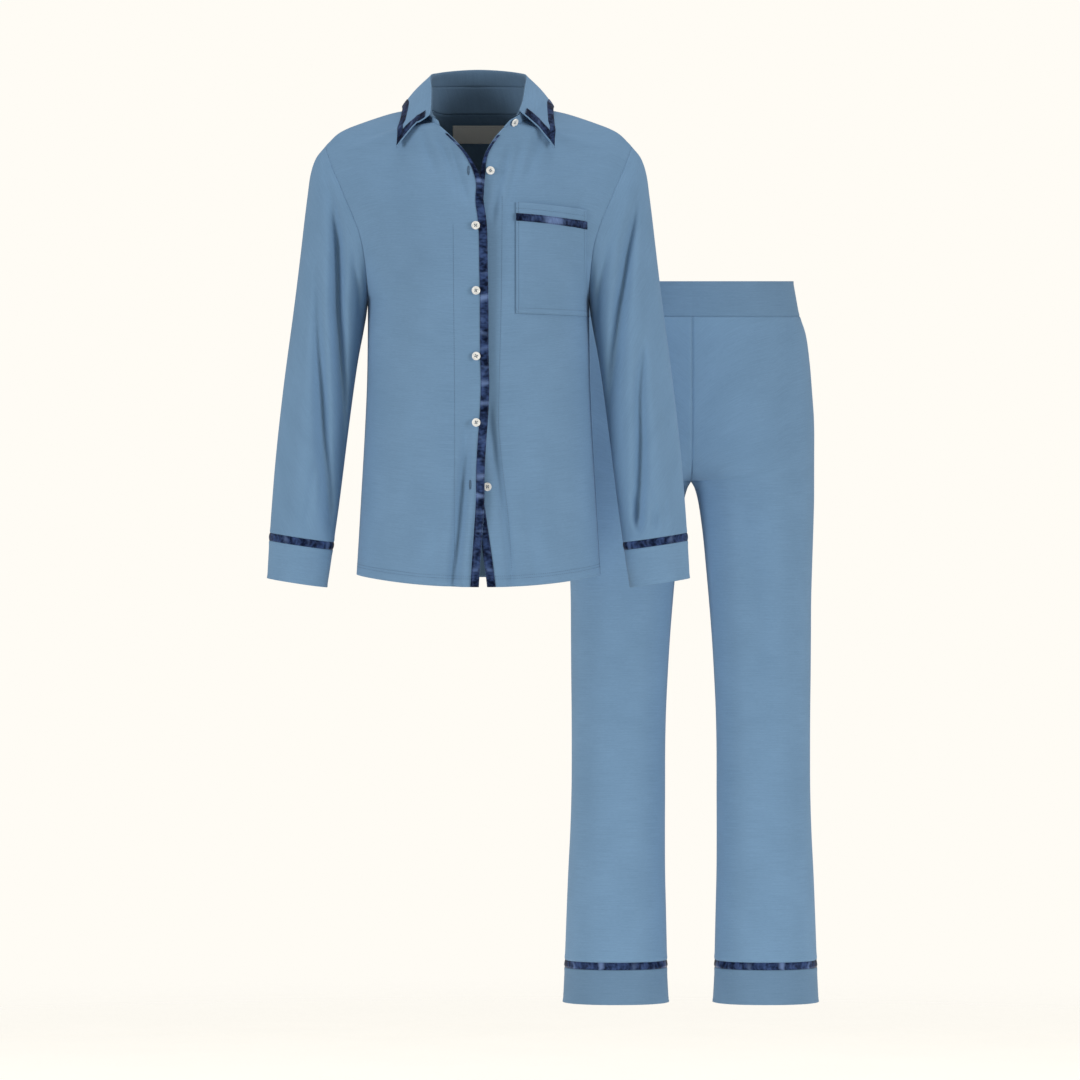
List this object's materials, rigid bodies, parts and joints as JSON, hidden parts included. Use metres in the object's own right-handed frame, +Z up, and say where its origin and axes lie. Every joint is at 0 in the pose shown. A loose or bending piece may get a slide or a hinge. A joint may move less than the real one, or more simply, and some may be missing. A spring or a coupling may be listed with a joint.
{
  "type": "pyjama set, filled out and held up by its wearer",
  "caption": "Long-sleeved button-through pyjama top with collar and chest pocket, and straight full-length trousers, in blue jersey with dark satin tape.",
  "frame": {"origin": "middle of the neck of the top at the height where the shoulder seams meet the collar, where the wearer holds it", "axes": "+X to the right as seen from the front, +Y from front to back, +Z up"},
  "size_m": [0.7892, 0.4611, 1.3402],
  "materials": {
    "jersey": "fine smooth jersey, matte with a faint sheen, soft drape",
    "satin": "glossy dark blue satin tape, slightly puckered",
    "button": "glossy off-white four-hole button",
    "label": "plain woven label, bare"
  },
  "bodies": {
    "root": {"front_upper": "jersey", "front_under": "jersey", "back": "jersey", "sleeve_left": "jersey", "sleeve_right": "jersey", "cuff_left": "jersey", "cuff_right": "jersey", "collar_stand": "jersey", "collar_leaf": "jersey", "pocket": "jersey", "waistband": "jersey", "trouser_front_left": "jersey", "trouser_front_right": "jersey", "trouser_back_left": "jersey", "trouser_back_right": "jersey", "hem_band_left": "jersey", "hem_band_right": "jersey", "front_tape_upper": "satin", "front_tape_under": "satin", "cuff_tape_left": "satin", "cuff_tape_right": "satin", "pocket_tape": "satin", "collar_tape": "satin", "collar_end_tape_left": "satin", "collar_end_tape_right": "satin", "hem_tape_left": "satin", "hem_tape_right": "satin", "button_1": "button", "button_2": "button", "button_3": "button", "button_4": "button", "button_5": "button", "button_6": "button", "button_7": "button", "neck_label": "label"}
  },
  "joints": []
}
